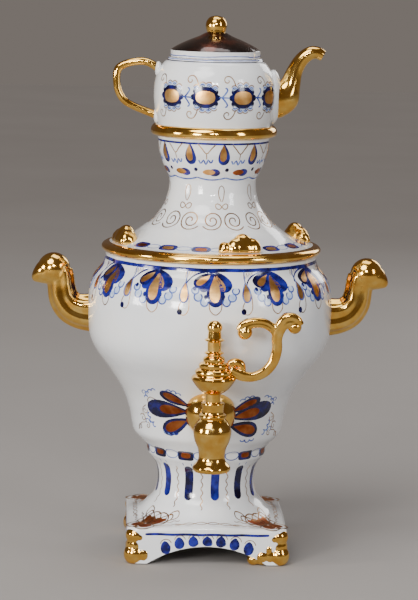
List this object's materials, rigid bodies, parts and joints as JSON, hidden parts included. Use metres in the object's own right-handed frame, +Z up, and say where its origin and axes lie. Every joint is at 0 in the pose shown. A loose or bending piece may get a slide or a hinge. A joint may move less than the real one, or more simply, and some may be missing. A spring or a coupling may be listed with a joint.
{
  "type": "porcelain samovar set",
  "caption": "Painted and gilded porcelain samovar: footed urn with side handles and a turning tap, a lift-off crown with teapot stand, and a small lidded teapot.",
  "frame": {"origin": "on the table, on the vertical axis of the urn, midway between the four feet", "axes": "+Z up along the urn's axis; the tap is at -Y; the side handles are at +X and -X; the teapot's spout is at +X"},
  "size_m": [0.266, 0.2097, 0.3997],
  "materials": {
    "porcelain": "clear gloss glaze over cobalt and gold painting",
    "gilt_porcelain": "polished gold over glaze",
    "lid_lustre": "dark bronze lustre, mirror gloss"
  },
  "bodies": {
    "urn_base": {"urn": "porcelain", "pedestal": "porcelain", "foot_front_left": "gilt_porcelain", "foot_front_right": "gilt_porcelain", "foot_back_left": "gilt_porcelain", "foot_back_right": "gilt_porcelain", "handle_left": "gilt_porcelain", "handle_right": "gilt_porcelain", "tap_boss": "gilt_porcelain", "tap_barrel": "gilt_porcelain", "tap_nozzle": "gilt_porcelain"},
    "tap_key": {"key_plug": "gilt_porcelain", "key_cap": "gilt_porcelain", "key_handle": "gilt_porcelain"},
    "crown": {"crown_skirt": "porcelain", "teapot_stand": "porcelain", "stud_front": "gilt_porcelain", "stud_right": "gilt_porcelain", "stud_back": "gilt_porcelain", "stud_left": "gilt_porcelain"},
    "teapot": {"teapot_body": "porcelain", "teapot_spout": "gilt_porcelain", "teapot_handle": "gilt_porcelain"},
    "lid": {"teapot_lid": "lid_lustre", "lid_knob": "gilt_porcelain"}
  },
  "joints": [
    {"name": "tap_turn", "type": "hinge", "parent": "urn_base", "child": "tap_key", "pos_m": [0, -0.103, 0.114], "axis": [0, 0, 1], "range_deg": [-190, 10]},
    {"name": "crown_lift", "type": "slide", "parent": "urn_base", "child": "crown", "axis": [0, 0, 1], "range_m": [0, 0.08]},
    {"name": "teapot_lift", "type": "slide", "parent": "crown", "child": "teapot", "axis": [0, 0, 1], "range_m": [0, 0.06]},
    {"name": "lid_lift", "type": "slide", "parent": "teapot", "child": "lid", "axis": [0, 0, 1], "range_m": [0, 0.04]}
  ]
}
